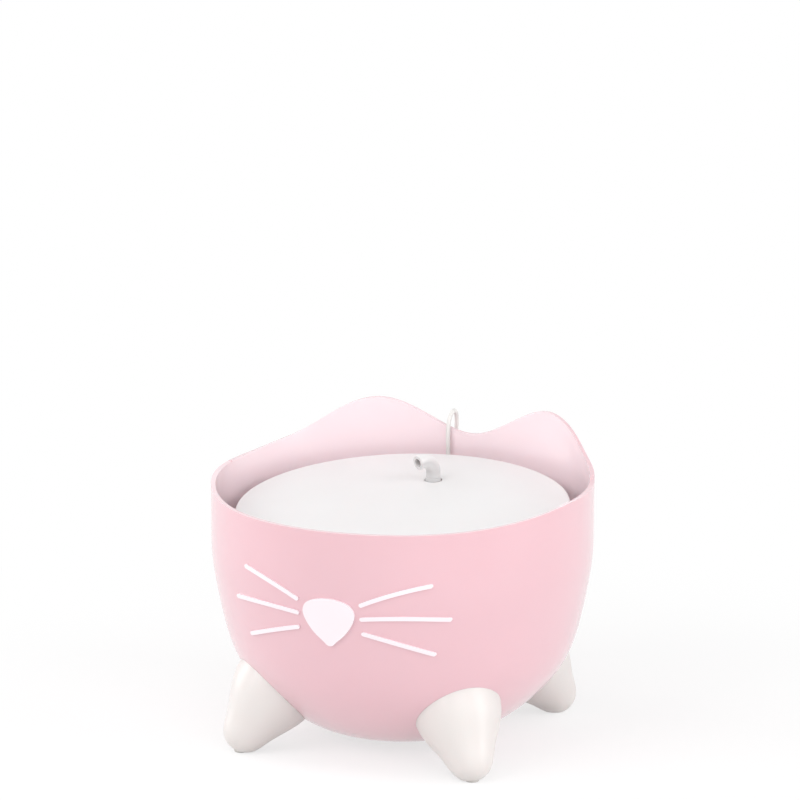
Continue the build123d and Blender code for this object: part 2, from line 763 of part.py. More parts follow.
with BuildPart() as flow_regulator:
    with BuildSketch(knob_face(WINDOW_DEPTH)):
        with Locations((-REGULATOR_START, WINDOW_BOTTOM + WINDOW_HEIGHT / 2)):
            RectangleRounded(REGULATOR_WIDTH, WINDOW_HEIGHT - 2 * SIDE_CLEARANCE, WINDOW_CORNER)
    extrude(amount=REGULATOR_THICKNESS)
    with BuildSketch(knob_face(WINDOW_DEPTH - REGULATOR_THICKNESS)):
        with Locations((-REGULATOR_START, WINDOW_BOTTOM + WINDOW_HEIGHT / 2)):
            with GridLocations(GRIP_PITCH, 0, GRIPS, 1):
                Rectangle(GRIP_WIDTH, GRIP_LENGTH)
    extrude(amount=GRIP_HEIGHT)
finish(flow_regulator.part, "flow_regulator")

with BuildPart() as led_bezel:
    with BuildSketch(knob_face()):
        with Locations((0, LED_HEIGHT)):
            Circle(BEZEL_RADIUS)
            Circle(LED_RADIUS, mode=Mode.SUBTRACT)
    extrude(amount=BEZEL_HEIGHT)
finish(led_bezel.part, "led_bezel")

with BuildPart() as led_lens:
    with BuildSketch(knob_face(LED_DEPTH)):
        with Locations((0, LED_HEIGHT)):
            Circle(LED_RADIUS)
    extrude(amount=LED_DEPTH + BEZEL_HEIGHT)
finish(led_lens.part, "led_lens")

for name, x, y in (
    ("front", -pump_foot_x, -pump_foot_y),
    ("left", -pump_foot_x, pump_foot_y),
    ("rear", pump_foot_x, pump_foot_y),
    ("right", pump_foot_x, -pump_foot_y),
):
    with BuildPart() as pump_foot:
        with BuildSketch(pump_plane(-PUMP_FOOT_HEIGHT)):
            with Locations((x, y)):
                Circle(PUMP_FOOT_RADIUS)
        extrude(amount=PUMP_FOOT_HEIGHT)
        fillet(pump_foot.faces().sort_by(Axis.Z)[0].edges(), PUMP_FOOT_ROUND)
    finish(pump_foot.part, f"pump_foot_{name}")

gland_plane = Plane(
    origin=pump_plane().from_local_coords((-GLAND_FROM_CENTRE, half_width, GLAND_HEIGHT)),
    z_dir=pump_plane().y_dir,
)
with BuildPart() as cord_gland:
    with BuildSketch(gland_plane):
        Circle(GLAND_RADIUS)
    extrude(amount=GLAND_LENGTH, taper=GLAND_TAPER)
finish(cord_gland.part, "cord_gland")

# ---------------------------------------------------------------- riser tube
with BuildPart() as riser_tube:
    with BuildSketch(Plane.XY.offset(tube_bottom)):
        with Locations((0, SPOUT_Y)):
            Circle(TUBE_RADIUS)
            Circle(TUBE_BORE_RADIUS, mode=Mode.SUBTRACT)
    extrude(amount=TUBE_LENGTH)
finish(riser_tube.part, "riser_tube")

# ---------------------------------------------------------------- tray
def basin(grow):
    """The basin's hollow, its sides and floor moved outwards by grow."""
    with BuildPart() as hollow:
        with BuildSketch(Plane.XY.offset(basin_floor - grow)):
            with Locations((0, basin_y)):
                Circle(BASIN_TOP_RADIUS - BASIN_SLOPE + grow)
        with BuildSketch(Plane.XY.offset(tray_top)):
            with Locations((0, basin_y)):
                Circle(BASIN_TOP_RADIUS + grow)
        loft()
        with BuildSketch(Plane.XY.offset(basin_floor - grow)):
            Circle(tray_radius - TRAY_EDGE + grow)
        extrude(amount=BASIN_DEPTH + grow, mode=Mode.INTERSECT)
    return hollow.part


def lobes(size, corner):
    """Four rounded squares around the pocket's centre."""
    with BuildSketch() as outline:
        with Locations((0, POCKET_Y)):
            with GridLocations(2 * CELL_OFFSET, 2 * CELL_OFFSET, 2, 2):
                RectangleRounded(size, size, corner)
    return outline.sketch


with BuildPart() as tray:
    with BuildSketch(Plane.XY.offset(tray_top - TRAY_PLATE)):
        Circle(tray_radius)
    extrude(amount=TRAY_PLATE)
    with BuildSketch(Plane.XY.offset(RIB_TOP)):
        Circle(tray_radius)
        Circle(tray_radius - TRAY_SKIRT_WALL, mode=Mode.SUBTRACT)
    extrude(amount=TRAY_SKIRT)
    add(basin(TRAY_WALL))
    with BuildSketch(Plane.XY.offset(pocket_floor)):
        with Locations((0, POCKET_Y)):
            RectangleRounded(POCKET_SIZE, POCKET_SIZE, POCKET_CORNER)
    extrude(amount=POCKET_DEPTH)
    add(basin(0), mode=Mode.SUBTRACT)
    # lobed filter pocket with its post and drain slots
    with BuildSketch(Plane.XY.offset(pocket_floor + TRAY_WALL)):
        add(lobes(LOBE_SIZE, LOBE_CORNER))
        with Locations((0, POCKET_Y)):
            Rectangle(2 * CELL_OFFSET, 2 * CELL_OFFSET)
            Circle(POST_RADIUS, mode=Mode.SUBTRACT)
    extrude(amount=POCKET_DEPTH, mode=Mode.SUBTRACT)
    with BuildSketch(Plane.XY.offset(pocket_floor)):
        with Locations((0, POCKET_Y)):
            with GridLocations(2 * CELL_OFFSET, 2 * CELL_OFFSET, 2, 2):
                with GridLocations(0, DRAIN_PITCH, 1, DRAIN_COUNT):
                    SlotOverall(DRAIN_LENGTH, DRAIN_WIDTH)
    extrude(amount=TRAY_WALL, mode=Mode.SUBTRACT)
    # finger holes, each with a rim below the plate
    hole_x = HOLE_REACH * cos(radians(HOLE_ANGLE))
    hole_y = HOLE_REACH * sin(radians(HOLE_ANGLE))
    with BuildSketch(Plane.XY.offset(tray_top - HOLE_DEPTH)):
        with Locations((hole_x, hole_y), (-hole_x, hole_y)):
            Ellipse(HOLE_LENGTH / 2 + HOLE_WALL, HOLE_WIDTH / 2 + HOLE_WALL)
    extrude(amount=HOLE_DEPTH)
    with BuildSketch(Plane.XY.offset(tray_top - HOLE_DEPTH)):
        with Locations((hole_x, hole_y), (-hole_x, hole_y)):
            Ellipse(HOLE_LENGTH / 2, HOLE_WIDTH / 2)
    extrude(amount=HOLE_DEPTH, mode=Mode.SUBTRACT)
    # seat of the outlet tower
    with BuildSketch(Plane.XY.offset(tray_top - TRAY_PLATE)):
        with Locations((0, SPOUT_Y)):
            Circle(SLEEVE_RADIUS)
    extrude(amount=TRAY_PLATE, mode=Mode.SUBTRACT)
    # lugs of the pull ring
    with BuildSketch(Plane.XY.offset(tray_top)):
        with Locations((RING_X, RING_HINGE_Y)):
            with GridLocations(RING_BARREL_WIDTH + 2 * SIDE_CLEARANCE + LUG_WIDTH, 0, 2, 1):
                Rectangle(LUG_WIDTH, LUG_DEPTH)
    extrude(amount=ring_hinge_z - tray_top + LUG_ABOVE_PIN)
    with BuildSketch(Plane.YZ.offset(RING_X - pin_half_length)):
        with Locations((RING_HINGE_Y, ring_hinge_z)):
            Circle(RING_PIN_RADIUS)
    extrude(amount=2 * pin_half_length, mode=Mode.SUBTRACT)
finish(tray.part, "tray")

# ---------------------------------------------------------------- outlet tower with its sleeve below
with BuildPart() as outlet_tower:
    with BuildSketch(Plane.XY.offset(tray_top)):
        with Locations((0, SPOUT_Y)):
            Circle(TOWER_RADIUS)
    extrude(amount=TOWER_BODY)
    with BuildSketch(Plane.XY.offset(tray_top + TOWER_BODY)):
        with Locations((0, SPOUT_Y)):
            Circle(TOWER_LIP_RADIUS)
    extrude(amount=TOWER_LIP)
    with BuildSketch(Plane.XY.offset(tray_top + TOWER_BODY + TOWER_LIP)):
        with Locations((0, SPOUT_Y)):
            Circle(TOWER_RADIUS)
    with BuildSketch(Plane.XY.offset(tray_top + TOWER_BODY + TOWER_LIP + TOWER_CAP)):
        with Locations((0, SPOUT_Y)):
            Circle(TOWER_CAP_RADIUS)
    loft()
    with BuildSketch(Plane.XY.offset(tray_top + TOWER_BODY)):
        with Locations((0, SPOUT_Y)):
            Circle(TOWER_TOP_RADIUS)
    extrude(amount=TOWER_TOP - TOWER_BODY)
    with BuildSketch(Plane.XY.offset(tray_top - SLEEVE_DROP)):
        with Locations((0, SPOUT_Y)):
            Circle(SLEEVE_RADIUS)
    extrude(amount=SLEEVE_DROP)
    with BuildSketch(Plane.XY.offset(tray_top - SLEEVE_DROP)):
        with Locations((0, SPOUT_Y)):
            Circle(TUBE_RADIUS + TUBE_CLEARANCE)
    extrude(amount=SLEEVE_DROP + TOWER_WATER_ROOM, mode=Mode.SUBTRACT)
    with BuildSketch(Plane.XY.offset(tray_top)):
        with Locations((0, SPOUT_Y)):
            Circle(COLLAR_BORE_RADIUS)
    extrude(amount=TOWER_TOP, mode=Mode.SUBTRACT)
    with BuildSketch(Plane.XY.offset(collar_bottom)):
        with Locations((0, SPOUT_Y)):
            Circle(COLLAR_RADIUS + COLLAR_CLEARANCE)
    extrude(amount=TOWER_TOP, mode=Mode.SUBTRACT)
finish(outlet_tower.part, "outlet_tower")

with BuildPart() as ring_pin:
    with BuildSketch(Plane.YZ.offset(RING_X - pin_half_length)):
        with Locations((RING_HINGE_Y, ring_hinge_z)):
            Circle(RING_PIN_RADIUS)
    extrude(amount=2 * pin_half_length)
finish(ring_pin.part, "pull_ring_pin")

# ---------------------------------------------------------------- pull ring, folded flat
ring_y = RING_HINGE_Y + RING_REACH
ring_back = ring_y - RING_OUTER_RADIUS
ring_shoulder = RING_HINGE_Y + RING_THICKNESS / 2 + SIDE_CLEARANCE
with BuildPart() as pull_ring:
    with BuildSketch(Plane.XY.offset(tray_top + SIDE_CLEARANCE)):
        with Locations((RING_X, ring_y)):
            Circle(RING_OUTER_RADIUS)
        # only the tongue between the lugs reaches back to the pin
        with Locations((RING_X, (ring_back + ring_shoulder) / 2)):
            Rectangle(2 * RING_OUTER_RADIUS, ring_shoulder - ring_back, mode=Mode.SUBTRACT)
        with Locations((RING_X, (RING_HINGE_Y + ring_y) / 2)):
            Rectangle(RING_BARREL_WIDTH, ring_y - RING_HINGE_Y)
        with Locations((RING_X, ring_y)):
            Circle(RING_INNER_RADIUS, mode=Mode.SUBTRACT)
    extrude(amount=RING_THICKNESS)
    with BuildSketch(Plane.YZ.offset(RING_X - RING_BARREL_WIDTH / 2)):
        with Locations((RING_HINGE_Y, ring_hinge_z)):
            Circle(RING_THICKNESS / 2)
    extrude(amount=RING_BARREL_WIDTH)
    with BuildSketch(Plane.YZ.offset(RING_X - RING_BARREL_WIDTH / 2)):
        with Locations((RING_HINGE_Y, ring_hinge_z)):
            Circle(RING_PIN_RADIUS + HINGE_CLEARANCE)
    extrude(amount=RING_BARREL_WIDTH, mode=Mode.SUBTRACT)
finish(pull_ring.part, "pull_ring")

# ---------------------------------------------------------------- filter cartridge
with BuildPart() as filter_shell:
    with BuildSketch(Plane.XY.offset(basin_floor)):
        with Locations((0, POCKET_Y)):
            RectangleRounded(FILTER_SIZE, FILTER_SIZE, FILTER_CORNER)
    extrude(amount=FILTER_FLANGE)
    with BuildSketch(Plane.XY.offset(basin_floor - CELL_DEPTH)):
        add(lobes(CELL_SIZE, CELL_CORNER))
    extrude(amount=CELL_DEPTH)
    with BuildSketch(Plane.XY.offset(basin_floor - CELL_DEPTH + CELL_WALL)):
        add(lobes(CELL_SIZE - 2 * CELL_WALL, CELL_CORNER - CELL_WALL))
    extrude(amount=CELL_DEPTH + FILTER_FLANGE, mode=Mode.SUBTRACT)
    with BuildSketch(Plane.XY.offset(basin_floor)):
        with Locations((0, POCKET_Y)):
            Circle(FILTER_HOLE_RADIUS)
    extrude(amount=FILTER_FLANGE, mode=Mode.SUBTRACT)
finish(filter_shell.part, "filter_shell")

for name, sign_x, sign_y in (
    ("carbon_bed_front", -1, -1),
    ("carbon_bed_rear", -1, 1),
    ("resin_bed_front", 1, -1),
    ("resin_bed_rear", 1, 1),
):
    with BuildPart() as bed:
        with BuildSketch(Plane.XY.offset(basin_floor - CELL_DEPTH + CELL_WALL)):
            with Locations((sign_x * CELL_OFFSET, POCKET_Y + sign_y * CELL_OFFSET)):
                RectangleRounded(CELL_SIZE - 2 * CELL_WALL, CELL_SIZE - 2 * CELL_WALL, CELL_CORNER - CELL_WALL)
        extrude(amount=BED_HEIGHT)
        fillet(bed.faces().sort_by(Axis.Z)[-1].edges(), BED_ROUND)
    finish(bed.part, name)

with BuildPart() as filter_cloth:
    with BuildSketch(Plane.XY.offset(basin_floor + FILTER_FLANGE)):
        with Locations((0, POCKET_Y)):
            RectangleRounded(CLOTH_SIZE, CLOTH_SIZE, FILTER_CORNER - (FILTER_SIZE - CLOTH_SIZE) / 2)
            Circle(FILTER_HOLE_RADIUS, mode=Mode.SUBTRACT)
    extrude(amount=CLOTH_THICKNESS)
finish(filter_cloth.part, "filter_cloth")

# ---------------------------------------------------------------- lid


def under_slope(radius, drop):
    """The drum under the lid's sloping top, its roof lowered by drop."""
    with BuildPart() as drum:
        with BuildSketch(Plane.YZ):
            with BuildLine():
                reach = lid_radius + EDGE_ROOM
                Polyline(
                    (-reach, tray_top),
                    (reach, tray_top),
                    (reach, lid_middle + lid_slope * reach - drop),
                    (-reach, lid_middle - lid_slope * reach - drop),
                    close=True,
                )
            make_face()
        extrude(amount=reach, both=True)
        with BuildSketch(Plane.XY.offset(tray_top)):
            Circle(radius)
        extrude(amount=lid_middle, mode=Mode.INTERSECT)
    return drum.part


with BuildPart() as lid:
    add(under_slope(lid_radius, 0))
    fillet(lid.faces().sort_by(Axis.Z)[-1].edges(), LID_ROUND)
    add(under_slope(lid_radius - LID_WALL, LID_PLATE), mode=Mode.SUBTRACT)
    # the skirt is open at the front, where the water runs back into the basin
    with BuildSketch(Plane.XY.offset(tray_top)):
        reach = 2 * lid_radius
        half_notch = reach * tan(radians(LID_NOTCH_ANGLE))
        Polygon((0, 0), (-half_notch, -reach), (half_notch, -reach), align=None)
    extrude(amount=LID_FRONT_HEIGHT - LID_PLATE, mode=Mode.SUBTRACT)
    with BuildSketch(Plane.XY.offset(tray_top)):
        with Locations((0, SPOUT_Y)):
            Circle(LID_HOLE_RADIUS)
    extrude(amount=2 * LID_BACK_HEIGHT, mode=Mode.SUBTRACT)
finish(lid.part, "lid")

# ---------------------------------------------------------------- spout
with BuildPart() as spout_collar:
    with BuildSketch(Plane.XY.offset(collar_bottom)):
        with Locations((0, SPOUT_Y)):
            Circle(COLLAR_RADIUS)
            Circle(COLLAR_BORE_RADIUS, mode=Mode.SUBTRACT)
    extrude(amount=COLLAR_HEIGHT)
finish(spout_collar.part, "spout_collar")

elbow_bottom = collar_top - ELBOW_SPIGOT
elbow_shoulder = collar_top + HINGE_CLEARANCE
bend_start = elbow_shoulder + ELBOW_RISE


def pipe(bottom, radius):
    """A round rod along the elbow's centre line, from bottom up and over to its mouth."""
    out_x = -sin(radians(ELBOW_HEADING))
    out_y = -cos(radians(ELBOW_HEADING))
    with BuildPart() as rod:
        with BuildLine(Plane(origin=(0, SPOUT_Y, bottom), x_dir=(out_x, out_y, 0), z_dir=(out_y, -out_x, 0))):
            rise = Line((0, 0), (0, bend_start - bottom))
            bend = JernArc(rise @ 1, rise % 1, ELBOW_BEND, -ELBOW_TURN)
            PolarLine(bend @ 1, ELBOW_MOUTH, 90 - ELBOW_TURN)
        with BuildSketch(Plane.XY.offset(bottom)):
            with Locations((0, SPOUT_Y)):
                Circle(radius)
        sweep()
    return rod.part


with BuildPart() as spout_elbow:
    add(pipe(elbow_shoulder, ELBOW_RADIUS))
    with BuildSketch(Plane.XY.offset(elbow_bottom)):
        with Locations((0, SPOUT_Y)):
            Circle(ELBOW_SPIGOT_RADIUS)
    extrude(amount=ELBOW_SPIGOT + HINGE_CLEARANCE)
    add(pipe(elbow_bottom, ELBOW_BORE_RADIUS), mode=Mode.SUBTRACT)
finish(spout_elbow.part, "spout_elbow")

# ---------------------------------------------------------------- power cord, its coil and its plug


def corner_radii(points):
    """The bend radius at each inner point of a route: as large as its two runs allow."""
    radii = []
    for before, at, after in zip(points, points[1:], points[2:]):
        into = Vector(*at) - Vector(*before)
        away = Vector(*after) - Vector(*at)
        half_turn = radians(into.get_angle(away)) / 2
        radii.append(BEND_SHARE * min(into.length, away.length) / tan(half_turn))
    return radii


cord_radii = corner_radii(CORD_ROUTE)
print("cord bend radii", [round(r, 1) for r in cord_radii])
with BuildPart() as power_cord:
    with BuildLine() as cord_line:
        FilletPolyline(*CORD_ROUTE, radius=cord_radii)
    with BuildSketch(Plane(origin=cord_line.line @ 0, z_dir=cord_line.line % 0)):
        Circle(CORD_RADIUS)
    sweep()
finish(power_cord.part, "power_cord")
cord_volume = pi * CORD_RADIUS**2 * cord_line.wire().length
print("cord length", cord_line.wire().length, "volume share", power_cord.part.volume / cord_volume)

coil_width = 2 * CORD_RADIUS * COIL_TURNS_WIDE
coil_height = 2 * CORD_RADIUS * COIL_TURNS_HIGH
with BuildPart() as cord_coil:
    with BuildSketch(Plane(origin=(COIL_X, COIL_Y, 0), x_dir=(1, 0, 0), z_dir=(0, -1, 0))):
        with Locations((COIL_MEAN_RADIUS, TIE_THICKNESS + coil_height / 2)):
            RectangleRounded(coil_width, coil_height, CORD_RADIUS)
    revolve(axis=Axis((COIL_X, COIL_Y, 0), (0, 0, 1)))
finish(cord_coil.part, "cord_coil")

tie_plane = Plane(
    origin=(COIL_X, COIL_Y, 0),
    x_dir=(cos(radians(TIE_ANGLE)), sin(radians(TIE_ANGLE)), 0),
    z_dir=(sin(radians(TIE_ANGLE)), -cos(radians(TIE_ANGLE)), 0),
)
with BuildPart() as cord_tie:
    with BuildSketch(tie_plane):
        with Locations((COIL_MEAN_RADIUS, TIE_THICKNESS + coil_height / 2)):
            RectangleRounded(
                coil_width + 2 * TIE_THICKNESS, coil_height + 2 * TIE_THICKNESS, CORD_RADIUS + TIE_THICKNESS
            )
    extrude(amount=TIE_WIDTH / 2, both=True)
    add(cord_coil.part, mode=Mode.SUBTRACT)
finish(cord_tie.part, "cord_tie")

coil_outside = COIL_MEAN_RADIUS + coil_width / 2
lead_y = COIL_Y + coil_outside - CORD_RADIUS
lead_x = COIL_X + (coil_outside**2 - (coil_outside - 2 * CORD_RADIUS) ** 2) ** 0.5
plug_middle = PLUG_THICKNESS / 2


def plug_plane(along):
    """Plane square to the plug, along millimetres from where its lead leaves the coil."""
    return Plane(origin=(lead_x + along, lead_y, plug_middle), x_dir=(0, 1, 0), z_dir=(1, 0, 0))


with BuildPart() as plug_lead:
    with BuildSketch(plug_plane(0)):
        Circle(CORD_RADIUS)
    extrude(amount=LEAD_LENGTH)
finish(plug_lead.part, "plug_lead")

with BuildPart() as usb_plug:
    with BuildSketch(plug_plane(LEAD_LENGTH)):
        RectangleRounded(PLUG_WIDTH, PLUG_THICKNESS, PLUG_ROUND)
    extrude(amount=PLUG_LENGTH)
    with BuildSketch(plug_plane(LEAD_LENGTH + PLUG_LENGTH)):
        with Locations((0, (SHELL_THICKNESS - TONGUE_THICKNESS) / 2 - SHELL_WALL)):
            Rectangle(SHELL_WIDTH - 4 * SHELL_WALL, TONGUE_THICKNESS)
    extrude(amount=TONGUE_LENGTH)
finish(usb_plug.part, "usb_plug_body")

with BuildPart() as usb_shell:
    with BuildSketch(plug_plane(LEAD_LENGTH + PLUG_LENGTH)):
        Rectangle(SHELL_WIDTH, SHELL_THICKNESS)
        Rectangle(SHELL_WIDTH - 2 * SHELL_WALL, SHELL_THICKNESS - 2 * SHELL_WALL, mode=Mode.SUBTRACT)
    extrude(amount=SHELL_LENGTH)
finish(usb_shell.part, "usb_plug_shell")
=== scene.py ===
"""Looks of the pet water fountain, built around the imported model.

Metres, +Z up, the face looks along -Y. The tables of the cord and its coil are in millimetres.
"""
import math

import bmesh
import bpy
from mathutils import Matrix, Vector, noise


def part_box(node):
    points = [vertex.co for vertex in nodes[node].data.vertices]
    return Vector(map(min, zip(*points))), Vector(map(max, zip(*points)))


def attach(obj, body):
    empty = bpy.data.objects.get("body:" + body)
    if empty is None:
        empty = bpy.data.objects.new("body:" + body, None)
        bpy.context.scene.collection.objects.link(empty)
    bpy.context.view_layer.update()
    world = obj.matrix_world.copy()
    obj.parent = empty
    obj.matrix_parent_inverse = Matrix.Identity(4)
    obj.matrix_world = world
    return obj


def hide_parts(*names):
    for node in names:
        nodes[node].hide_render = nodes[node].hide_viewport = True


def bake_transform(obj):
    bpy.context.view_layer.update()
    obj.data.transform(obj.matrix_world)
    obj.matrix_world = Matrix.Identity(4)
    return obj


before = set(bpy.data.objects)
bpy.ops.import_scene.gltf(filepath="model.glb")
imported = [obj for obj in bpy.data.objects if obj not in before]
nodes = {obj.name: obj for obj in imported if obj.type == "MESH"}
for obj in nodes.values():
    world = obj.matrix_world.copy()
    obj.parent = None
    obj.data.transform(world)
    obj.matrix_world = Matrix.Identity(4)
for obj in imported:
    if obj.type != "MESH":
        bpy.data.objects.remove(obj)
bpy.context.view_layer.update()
MM = 0.001

# ---------------------------------------------------------------- sizes
# Camera, by its place beside, behind and above the bowl's centre on the floor
CAMERA_AZIMUTH = 22.2
CAMERA_PITCH = 12.95
CAMERA_SIDE = -0.0017
CAMERA_BACK = 2.5
CAMERA_HEIGHT = 0.799
CAMERA_LENS = 177.9
CAMERA_SENSOR = 36
CAMERA_REACH = 60

# Floor: its side, the light it throws back, its shadow's depth and where the shadow fades out
FLOOR_SIZE = 40.0
FLOOR_BOUNCE = 0.85
SHADOW_SHARE = 0.32
SHADOW_FROM = 0.22
SHADOW_TO = 0.5

# Light: its even part, the point that the lamps face, and each lamp's place, size and watts
WORLD_LIGHT = 0.5
LIT_POINT = Vector((0, 0, 0.2))
LAMPS = {
    "top": ((0.0, -0.8, 2.3), (2.0, 2.0), 10),
    "front_left": ((-1.1, -1.95, 1.5), (1.8, 1.2), 22),
    "front_right": ((1.5, -1.75, 1.3), (1.4, 1.2), 10),
    "left": ((-2.1, 0.0, 0.8), (0.8, 1.6), 14),
    "right": ((2.1, 0.0, 0.8), (0.8, 1.6), 19),
}

# CAD pieces whose edges are rounded, and how
ROUNDED = (
    "bowl",
    "tray",
    "lid",
    "pull_ring",
    "outlet_tower",
    "riser_tube",
    "spout_collar",
    "nose",
)
EDGE_RADIUS = 0.5 * MM
EDGE_ANGLE = 35
EDGE_SEGMENTS = 3

# Room between the grains of a bed and the clear cell round them
GRAIN_GAP = 0.2 * MM

# Felt: a rounded square with a hole, full over each of the four cells, lightly creased
FELT_CORNER = 20.0 * MM
FELT_HOLE = 8.0 * MM
FELT_THICKNESS = 0.9 * MM
FELT_PUFF = 1.3 * MM
FELT_RINGS = 28
FELT_STEPS = 144
CELL_OFFSET = 22.0 * MM
CELL_HALF = 21.0 * MM
CREASE_SCALE = 130
CREASE_DEPTH = 0.5 * MM

# Cord, and how finely its curve is drawn
CORD_RADIUS = 1.5 * MM
CORD_ORDER = 3
CORD_STEPS = 8
CORD_SIDES = 4

# Coil: the radii and heights of its turns, and the angles at which the cord joins and leaves it
COIL_CENTRE = (-70.0, 172.0)
COIL_RADII = (13.5, 16.5, 19.5)
COIL_LEVELS = (2.3, 5.3, 8.3)
COIL_START = -104.0
COIL_END = -270.0
# Share of a turn in which the cord moves over to its next slot
COIL_SHIFT = 0.3
POINTS_PER_TURN = 14

# From the coil to the plug: x and height of each point, and the height in the plug
PLUG_RUN = [(-62.0, 7.2), (-54.0, 4.6), (-48.0, 3.6)]
PLUG_HEIGHT = 3.5
PLUG_Y = 191.5

# The cord's way from the pump to its coil on the floor
CORD_ROUTE = [
    (-31.47, 57.9, 50.0),
    (-38.5, 64.93, 50.0),
    (-48.6, 65.6, 51.5),
    (-57.6, 61.3, 52.5),
    (-64.4, 55.8, 53.0),
    (-67.0, 47.9, 52.5),
    (-64.4, 40.3, 51.3),
    (-57.6, 35.6, 49.5),
    (-49.3, 36.2, 47.4),
    (-42.9, 41.9, 45.0),
    (-34.3, 53.4, 41.8),
    (-25.4, 65.4, 39.6),
    (-18.8, 78.4, 40.6),
    (-15.3, 91.0, 48.6),
    (-14.5, 101.6, 63.0),
    (-14.5, 109.2, 82.5),
    (-14.5, 115.6, 104.0),
    (-14.5, 117.7, 116.0),
    (-14.5, 118.7, 128.0),
    (-14.7, 118.9, 156.0),
    (-15.0, 118.0, 181.5),
    (-15.5, 129.8, 189.5),
    (-17.0, 141.8, 181.5),
    (-19.0, 140.5, 155.0),
    (-22.0, 138.5, 126.0),
    (-26.5, 137.5, 97.0),
    (-32.0, 137.5, 69.5),
    (-37.5, 138.0, 44.5),
    (-42.5, 139.0, 23.5),
    (-46.8, 142.6, 7.0),
    (-53.5, 148.8, 2.8),
]


def add_object(name, data):
    """A new object in the scene."""
    thing = bpy.data.objects.new(name, data)
    bpy.context.scene.collection.objects.link(thing)
    return thing


# ---------------------------------------------------------------- camera
def place_camera():
    """The photograph's camera: to the right of the face, and tilted down at it."""
    turn = math.radians(CAMERA_AZIMUTH)
    pitch = math.radians(CAMERA_PITCH)
    right = Vector((math.cos(turn), math.sin(turn), 0))
    level = Vector((-math.sin(turn), math.cos(turn), 0))
    height = Vector((0, 0, CAMERA_HEIGHT))
    look = level * math.cos(pitch) - Vector((0, 0, math.sin(pitch)))
    camera = add_object("camera", bpy.data.cameras.new("camera"))
    camera.location = right * CAMERA_SIDE - level * CAMERA_BACK + height
    camera.rotation_mode = "QUATERNION"
    camera.rotation_quaternion = look.to_track_quat("-Z", "Y")
    camera.data.lens = CAMERA_LENS
    camera.data.sensor_width = CAMERA_SENSOR
    camera.data.clip_end = CAMERA_REACH
    bpy.context.scene.camera = camera


place_camera()


# ---------------------------------------------------------------- cord
def coil_points():
    """The wound-up rest of the cord, slot by slot and clockwise."""
    inner, middle, outer = COIL_RADII
    low, mid, high = COIL_LEVELS
    slots = [(outer, low), (middle, low), (inner, low), (inner, mid), (inner, high)]
    slots += [(middle, high), (middle, mid), (outer, mid), (outer, high)]
    points = []
    last_turn = (COIL_START - COIL_END) / 360
    steps = round(POINTS_PER_TURN * (len(slots) - 1 + last_turn))
    for step in range(steps + 1):
        turn = step / POINTS_PER_TURN
        index = min(int(turn), len(slots) - 1)
        after = min(index + 1, len(slots) - 1)
        shift = max(0.0, (turn - index - (1 - COIL_SHIFT)) / COIL_SHIFT)
        radius = slots[index][0] + (slots[after][0] - slots[index][0]) * shift
        height = slots[index][1] + (slots[after][1] - slots[index][1]) * shift
        angle = math.radians(COIL_START) - 2 * math.pi * turn
        x = COIL_CENTRE[0] + radius * math.cos(angle)
        y = COIL_CENTRE[1] + radius * math.sin(angle)
        points.append((x, y, height))
    return points


def make_cord():
    """One smooth cord from the pump's gland, over the rim, through the coil and into the plug."""
    plug_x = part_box("plug_lead")[1].x / MM
    points = CORD_ROUTE + coil_points()
    points += [(x, PLUG_Y, height) for x, height in [*PLUG_RUN, (plug_x, PLUG_HEIGHT)]]
    curve = bpy.data.curves.new("cord_line", "CURVE")
    curve.dimensions = "3D"
    curve.resolution_u = CORD_STEPS
    line = curve.splines.new("NURBS")
    line.points.add(len(points) - 1)
    for at, point in zip(line.points, points):
        at.co = (point[0] * MM, point[1] * MM, point[2] * MM, 1)
    line.order_u = CORD_ORDER
    line.use_endpoint_u = True
    holder = add_object("cord_line", curve)
    bare = bpy.data.meshes.new_from_object(holder)
    curve.bevel_depth = CORD_RADIUS
    curve.bevel_resolution = CORD_SIDES
    curve.use_fill_caps = True
    mesh = bpy.data.meshes.new_from_object(holder)
    bpy.data.objects.remove(holder)
    mesh.shade_smooth()
    cord = add_object("cord", mesh)
    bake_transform(cord)
    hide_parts("power_cord", "cord_coil", "plug_lead")
    return cord


cord = make_cord()


# ---------------------------------------------------------------- felt of the filter
def felt_edge(angle, half):
    """How far the felt's outline, a rounded square, lies from its middle in one direction."""
    along, across = sorted((abs(math.cos(angle)), abs(math.sin(angle))), reverse=True)
    inset = half - FELT_CORNER
    if half * across <= inset * along:
        return half / along
    forward = inset * (along + across)
    return forward + math.sqrt(FELT_CORNER**2 - 2 * inset**2 + forward**2)


def felt_rise(x, y):
    """How far the felt stands up over the full cells, with its small creases."""
    p = (abs(x) - CELL_OFFSET) / CELL_HALF
    q = (abs(y) - CELL_OFFSET) / CELL_HALF
    full = (max(0.0, 1 - p * p) * max(0.0, 1 - q * q)) ** 0.5
    creases = noise.noise(Vector((x, y, 0)) * CREASE_SCALE)
    return FELT_PUFF * full + CREASE_DEPTH * creases * full


